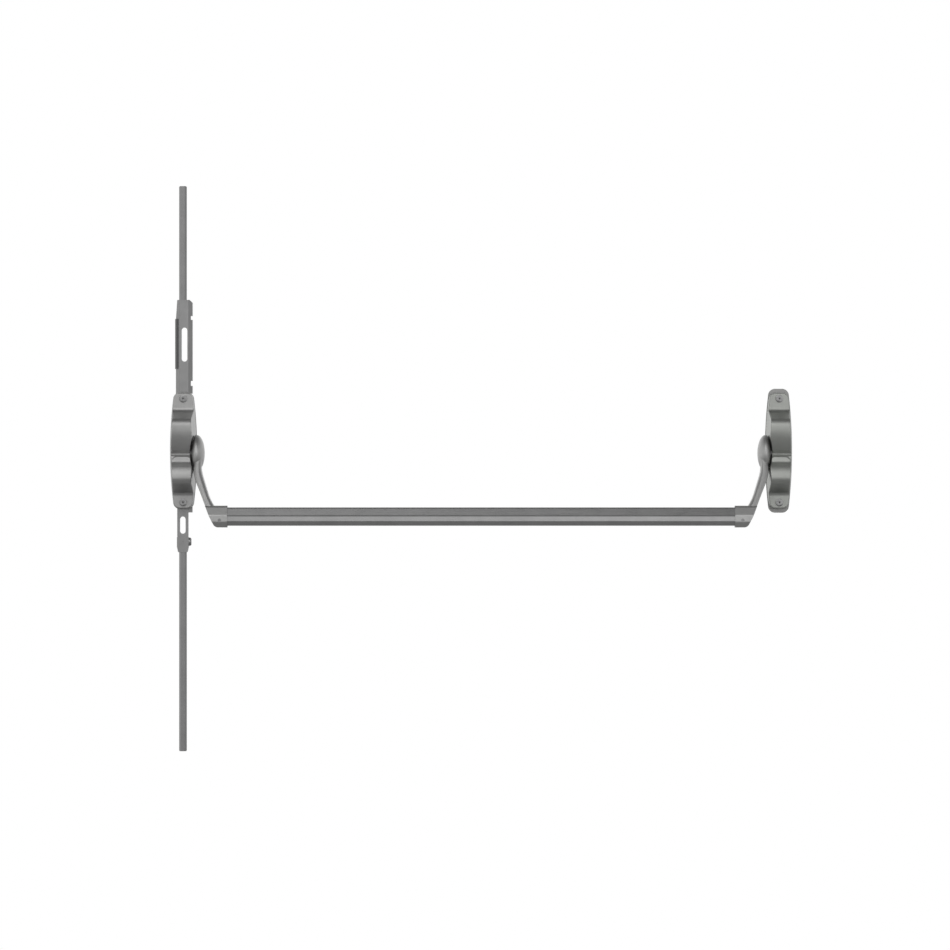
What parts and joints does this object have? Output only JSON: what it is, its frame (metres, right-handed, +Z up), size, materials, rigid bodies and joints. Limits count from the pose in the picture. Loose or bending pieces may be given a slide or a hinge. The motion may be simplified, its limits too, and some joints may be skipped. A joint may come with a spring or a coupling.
{
  "type": "vertical rod exit device",
  "caption": "Door crossbar on two lever arms between narrow cases; pushing it turns a shaft whose tongue, racks and pinion draw concealed upper and lower rods inwards.",
  "frame": {"origin": "on the door face behind the active case, level with the lever pivot", "axes": "+X along the crossbar to the hinge-side case, +Y into the door, +Z up"},
  "size_m": [1.0288, 0.1243, 0.936],
  "materials": {
    "satin_case": "satin",
    "satin_case_hinge": "satin",
    "cast_plate": "satin",
    "satin_lever": "satin",
    "brushed_bar": "brushed",
    "bronze_bush": "machined",
    "black_rubber": "matt",
    "nylon_pad": "matt",
    "dark_strip": "matt",
    "spring_steel": "drawn",
    "rod_steel": "drawn",
    "slide_steel": "zinc plated, dull",
    "gear_steel": "machined",
    "screw_steel": "plated"
  },
  "bodies": {
    "mounting": {"active_base_plate": "cast_plate", "active_cover": "satin_case", "active_cover_screws": "screw_steel", "active_shaft_bushes": "bronze_bush", "active_return_spring": "spring_steel", "active_rubber_stop": "black_rubber", "pinion_stud": "gear_steel", "pinion_clip": "spring_steel", "slide_guide_straps": "slide_steel", "slide_guide_pads": "nylon_pad", "hinge_base_plate": "cast_plate", "hinge_cover": "satin_case_hinge", "hinge_cover_screws": "screw_steel", "hinge_shaft_bushes": "bronze_bush", "hinge_return_spring": "spring_steel", "hinge_rubber_stop": "black_rubber"},
    "crossbar": {"push_bar": "brushed_bar", "active_lever_arm": "satin_lever", "hinge_lever_arm": "satin_lever", "socket_screws": "screw_steel", "hub_set_screws": "screw_steel", "active_shaft": "gear_steel", "hinge_shaft": "gear_steel", "active_shaft_ring": "spring_steel", "hinge_shaft_ring": "spring_steel", "lift_tongue": "gear_steel", "hinge_stop_collar": "gear_steel", "collar_pins": "screw_steel"},
    "pinion": {"pinion": "gear_steel"},
    "upper_rod": {"upper_slide": "slide_steel", "upper_guide_strip": "dark_strip", "upper_rack": "slide_steel", "upper_end_block": "slide_steel", "upper_rod": "rod_steel", "upper_rod_nut": "screw_steel"},
    "lower_rod": {"lower_slide": "slide_steel", "lower_knuckle": "slide_steel", "knuckle_pin": "screw_steel", "knuckle_lock_screw": "screw_steel", "lower_rod": "rod_steel"}
  },
  "joints": [
    {"name": "bar_swing", "type": "hinge", "parent": "mounting", "child": "crossbar", "pos_m": [0, -0.0315, 0], "axis": [1, 0, 0], "range_deg": [0, 16], "stiffness_Nm_per_rad": 12, "springref_deg": -20.05, "deforming": ["active_return_spring", "hinge_return_spring"]},
    {"name": "pinion_turn", "type": "hinge", "parent": "mounting", "child": "pinion", "pos_m": [0, 0.0105, -0.04], "axis": [0, -1, 0], "range_deg": [0, 80]},
    {"name": "upper_rod_slide", "type": "slide", "parent": "mounting", "child": "upper_rod", "axis": [0, 0, -1], "range_m": [0, 0.0122]},
    {"name": "lower_rod_slide", "type": "slide", "parent": "mounting", "child": "lower_rod", "axis": [0, 0, 1], "range_m": [0, 0.0122]}
  ],
  "couplings": [
    {"joint": "lower_rod_slide", "follows": "bar_swing", "m_per_rad": 0.042972},
    {"joint": "upper_rod_slide", "follows": "bar_swing", "m_per_rad": 0.042972},
    {"joint": "pinion_turn", "follows": "bar_swing", "ratio": 4.9111}
  ]
}
